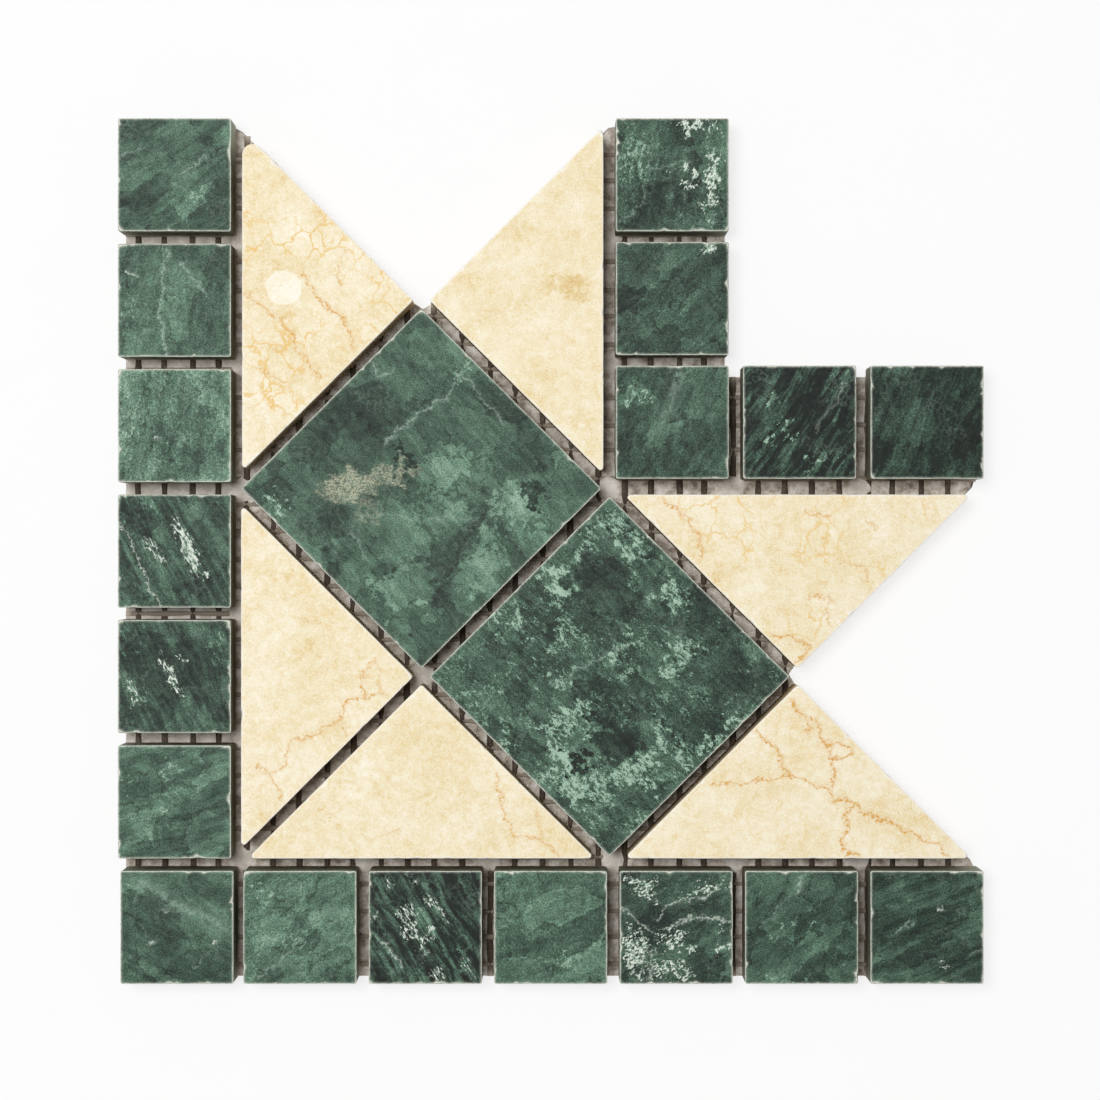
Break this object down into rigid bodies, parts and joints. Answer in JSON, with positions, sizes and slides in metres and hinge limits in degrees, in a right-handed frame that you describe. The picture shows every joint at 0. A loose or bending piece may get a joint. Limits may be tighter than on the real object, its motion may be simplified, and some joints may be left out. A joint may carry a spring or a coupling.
{
  "type": "mosaic border corner tile",
  "caption": "Mesh-backed marble mosaic corner for a tile border: small green squares frame cream triangles and large green squares set as diamonds, with notches that take the next strip.",
  "frame": {"origin": "middle of the square footprint, on the underside of the backing mesh", "axes": "+Z out of the polished face, -X and -Y towards the two outer sides of the corner, +X and +Y along the arms"},
  "size_m": [0.1754, 0.1754, 0.01],
  "materials": {
    "green_marble": "honed dark green marble with pale veins",
    "cream_marble": "honed cream marble with golden veins",
    "backing_mesh": "open fibreglass mesh soaked with adhesive"
  },
  "bodies": {
    "root": {"inner_corner_square": "green_marble", "bottom_square_1": "green_marble", "bottom_square_2": "green_marble", "bottom_square_3": "green_marble", "bottom_square_4": "green_marble", "bottom_square_5": "green_marble", "bottom_square_6": "green_marble", "bottom_square_7": "green_marble", "left_square_1": "green_marble", "left_square_2": "green_marble", "left_square_3": "green_marble", "left_square_4": "green_marble", "left_square_5": "green_marble", "left_square_6": "green_marble", "inner_right_square_1": "green_marble", "inner_right_square_2": "green_marble", "inner_top_square_1": "green_marble", "inner_top_square_2": "green_marble", "green_diamond_upper": "green_marble", "green_diamond_lower": "green_marble", "cream_triangle_left_lower": "cream_marble", "cream_triangle_left_upper": "cream_marble", "cream_triangle_top_inner": "cream_marble", "cream_triangle_bottom_left": "cream_marble", "cream_triangle_bottom_right": "cream_marble", "cream_triangle_right_inner": "cream_marble", "mesh_corner": "backing_mesh", "mesh_top_outer": "backing_mesh", "mesh_top_inner": "backing_mesh", "mesh_right_outer": "backing_mesh", "mesh_right_inner": "backing_mesh"}
  },
  "joints": []
}
